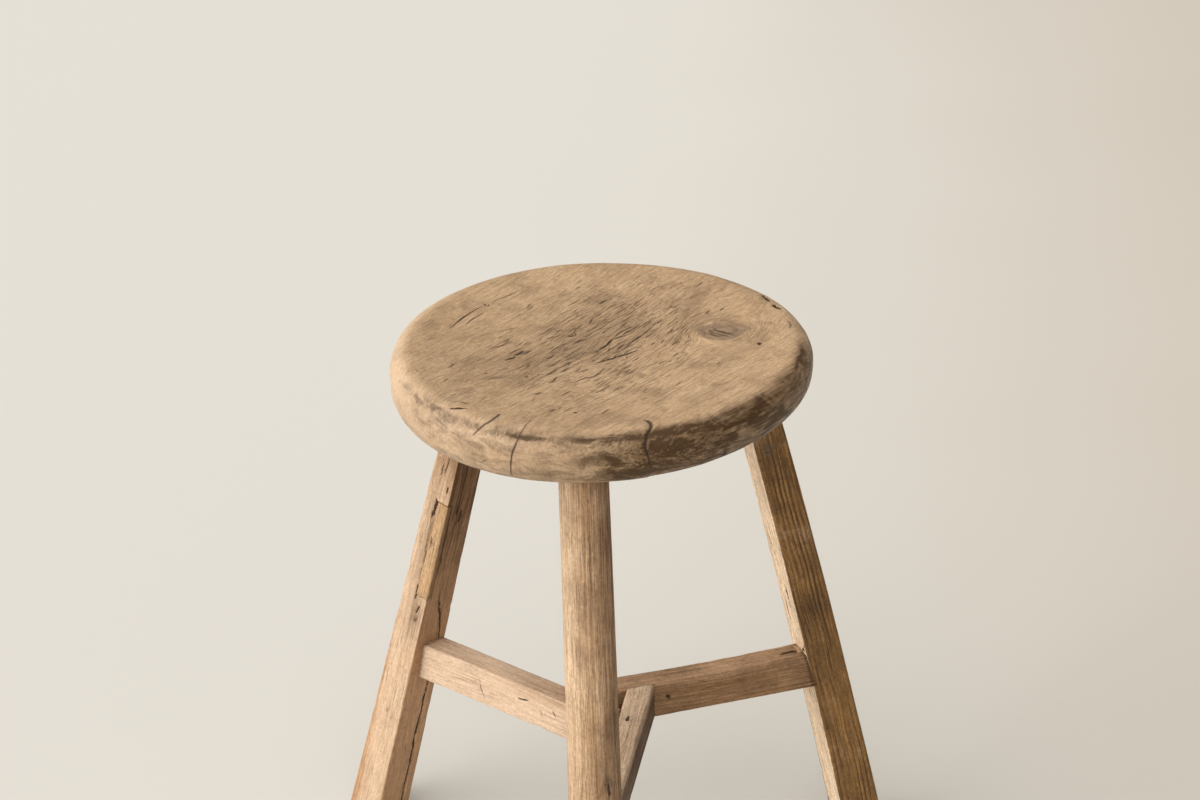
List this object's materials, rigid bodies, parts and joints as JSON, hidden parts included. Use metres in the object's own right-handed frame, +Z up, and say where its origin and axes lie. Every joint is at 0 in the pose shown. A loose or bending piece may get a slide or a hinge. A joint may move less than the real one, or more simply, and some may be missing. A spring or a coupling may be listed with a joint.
{
  "type": "stool",
  "caption": "Three-legged wooden milking stool: dished round seat on splayed legs, tied low down by rails that lock in a pinwheel.",
  "frame": {"origin": "on the floor, at the middle of the stool's bounding box", "axes": "+Z up, from the floor to the seat; -Y towards the round front leg, +X towards the right leg"},
  "size_m": [0.4616, 0.4165, 0.5],
  "materials": {
    "seat_wood": "weathered dry elm, worn smooth on the rim, open checks and a knot on top",
    "left_leg_wood": "dry elm, pale peach outer face, browner inner face, long drying cracks",
    "right_leg_wood": "dry elm, bold brown grain on the front face, pale inner face",
    "front_leg_wood": "dry elm, rounded, tan with upright grain streaks",
    "left_rail_wood": "dry elm, pale peach face, tan top",
    "right_rail_wood": "dry elm, brown face, pinkish tan top",
    "front_rail_wood": "dry elm, greyed top, worn arris",
    "patch_wood": "newer yellow wood let into the old arris",
    "shim_wood": "split slip of pale wood",
    "wedge_wood": "sawn hardwood"
  },
  "bodies": {
    "root": {"seat": "seat_wood", "left_leg": "left_leg_wood", "right_leg": "right_leg_wood", "front_leg": "front_leg_wood", "left_rail": "left_rail_wood", "right_rail": "right_rail_wood", "front_rail": "front_rail_wood", "left_leg_patch": "patch_wood", "left_rail_shim": "shim_wood", "right_rail_shim": "shim_wood", "front_rail_shim": "shim_wood", "left_leg_wedge": "wedge_wood", "right_leg_wedge": "wedge_wood", "front_leg_wedge": "wedge_wood"}
  },
  "joints": []
}
